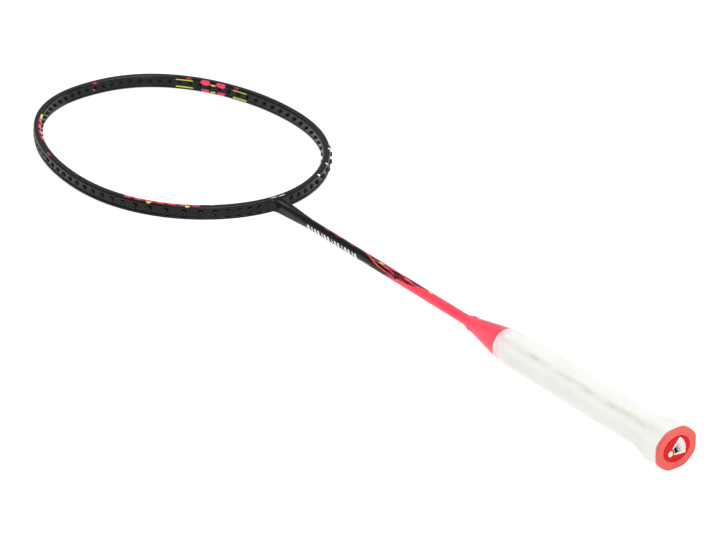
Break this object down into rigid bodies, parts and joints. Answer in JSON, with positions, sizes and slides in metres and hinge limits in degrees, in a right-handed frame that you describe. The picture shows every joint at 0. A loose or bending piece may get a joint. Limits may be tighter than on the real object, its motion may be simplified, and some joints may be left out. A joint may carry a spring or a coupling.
{
  "type": "badminton racket",
  "caption": "Unstrung badminton racket: hollow oval head with grommets, moulded throat, slim shaft, cone, wound octagonal handle with flared butt.",
  "frame": {"origin": "centre of the butt cap's end face", "axes": "+Y along the shaft from butt to crown, +Z out of the string plane, X across the head; the string plane is Z = 0"},
  "size_m": [0.1954, 0.6753, 0.0292],
  "materials": {
    "frame_lacquer": "clear-coated charcoal lacquer on carbon fibre",
    "shaft_lacquer": "clear-coated lacquer, charcoal at the throat fading to coral at the handle",
    "insert_carbon": "bare carbon composite",
    "cone_plastic": "moulded, satin gloss",
    "cap_plastic": "moulded, satin",
    "badge_enamel": "glossy inlaid disc",
    "grip_polyurethane": "soft tacky polyurethane film on foam, spiral wound",
    "tape_film": "thin translucent finishing tape",
    "handle_wood": "planed, unfinished",
    "grommet_nylon": "moulded nylon, satin"
  },
  "bodies": {
    "root": {"butt_badge": "badge_enamel", "butt_cap": "cap_plastic", "cone_cap": "cone_plastic", "crown_strip_01_left": "grommet_nylon", "crown_strip_01_right": "grommet_nylon", "crown_strip_02_left": "grommet_nylon", "crown_strip_02_right": "grommet_nylon", "crown_strip_03_left": "grommet_nylon", "crown_strip_03_right": "grommet_nylon", "grip_tape": "tape_film", "grip_wrap": "grip_polyurethane", "handle_core": "handle_wood", "head_frame": "frame_lacquer", "shaft": "shaft_lacquer", "side_grommet_01_left": "grommet_nylon", "side_grommet_01_right": "grommet_nylon", "side_grommet_02_left": "grommet_nylon", "side_grommet_02_right": "grommet_nylon", "side_grommet_03_left": "grommet_nylon", "side_grommet_03_right": "grommet_nylon", "side_grommet_04_left": "grommet_nylon", "side_grommet_04_right": "grommet_nylon", "side_grommet_05_left": "grommet_nylon", "side_grommet_05_right": "grommet_nylon", "side_grommet_06_left": "grommet_nylon", "side_grommet_06_right": "grommet_nylon", "side_grommet_07_left": "grommet_nylon", "side_grommet_07_right": "grommet_nylon", "side_grommet_08_left": "grommet_nylon", "side_grommet_08_right": "grommet_nylon", "side_grommet_09_left": "grommet_nylon", "side_grommet_09_right": "grommet_nylon", "side_grommet_10_left": "grommet_nylon", "side_grommet_10_right": "grommet_nylon", "tall_grommet_01_left": "grommet_nylon", "tall_grommet_01_right": "grommet_nylon", "tall_grommet_02_left": "grommet_nylon", "tall_grommet_02_right": "grommet_nylon", "tall_grommet_03_left": "grommet_nylon", "tall_grommet_03_right": "grommet_nylon", "tall_grommet_04_left": "grommet_nylon", "tall_grommet_04_right": "grommet_nylon", "tall_grommet_05_left": "grommet_nylon", "tall_grommet_05_right": "grommet_nylon", "tall_grommet_06_left": "grommet_nylon", "tall_grommet_06_right": "grommet_nylon", "throat_insert": "insert_carbon", "twin_grommet_01_left": "grommet_nylon", "twin_grommet_01_right": "grommet_nylon", "twin_grommet_02_left": "grommet_nylon", "twin_grommet_02_right": "grommet_nylon"}
  },
  "joints": []
}
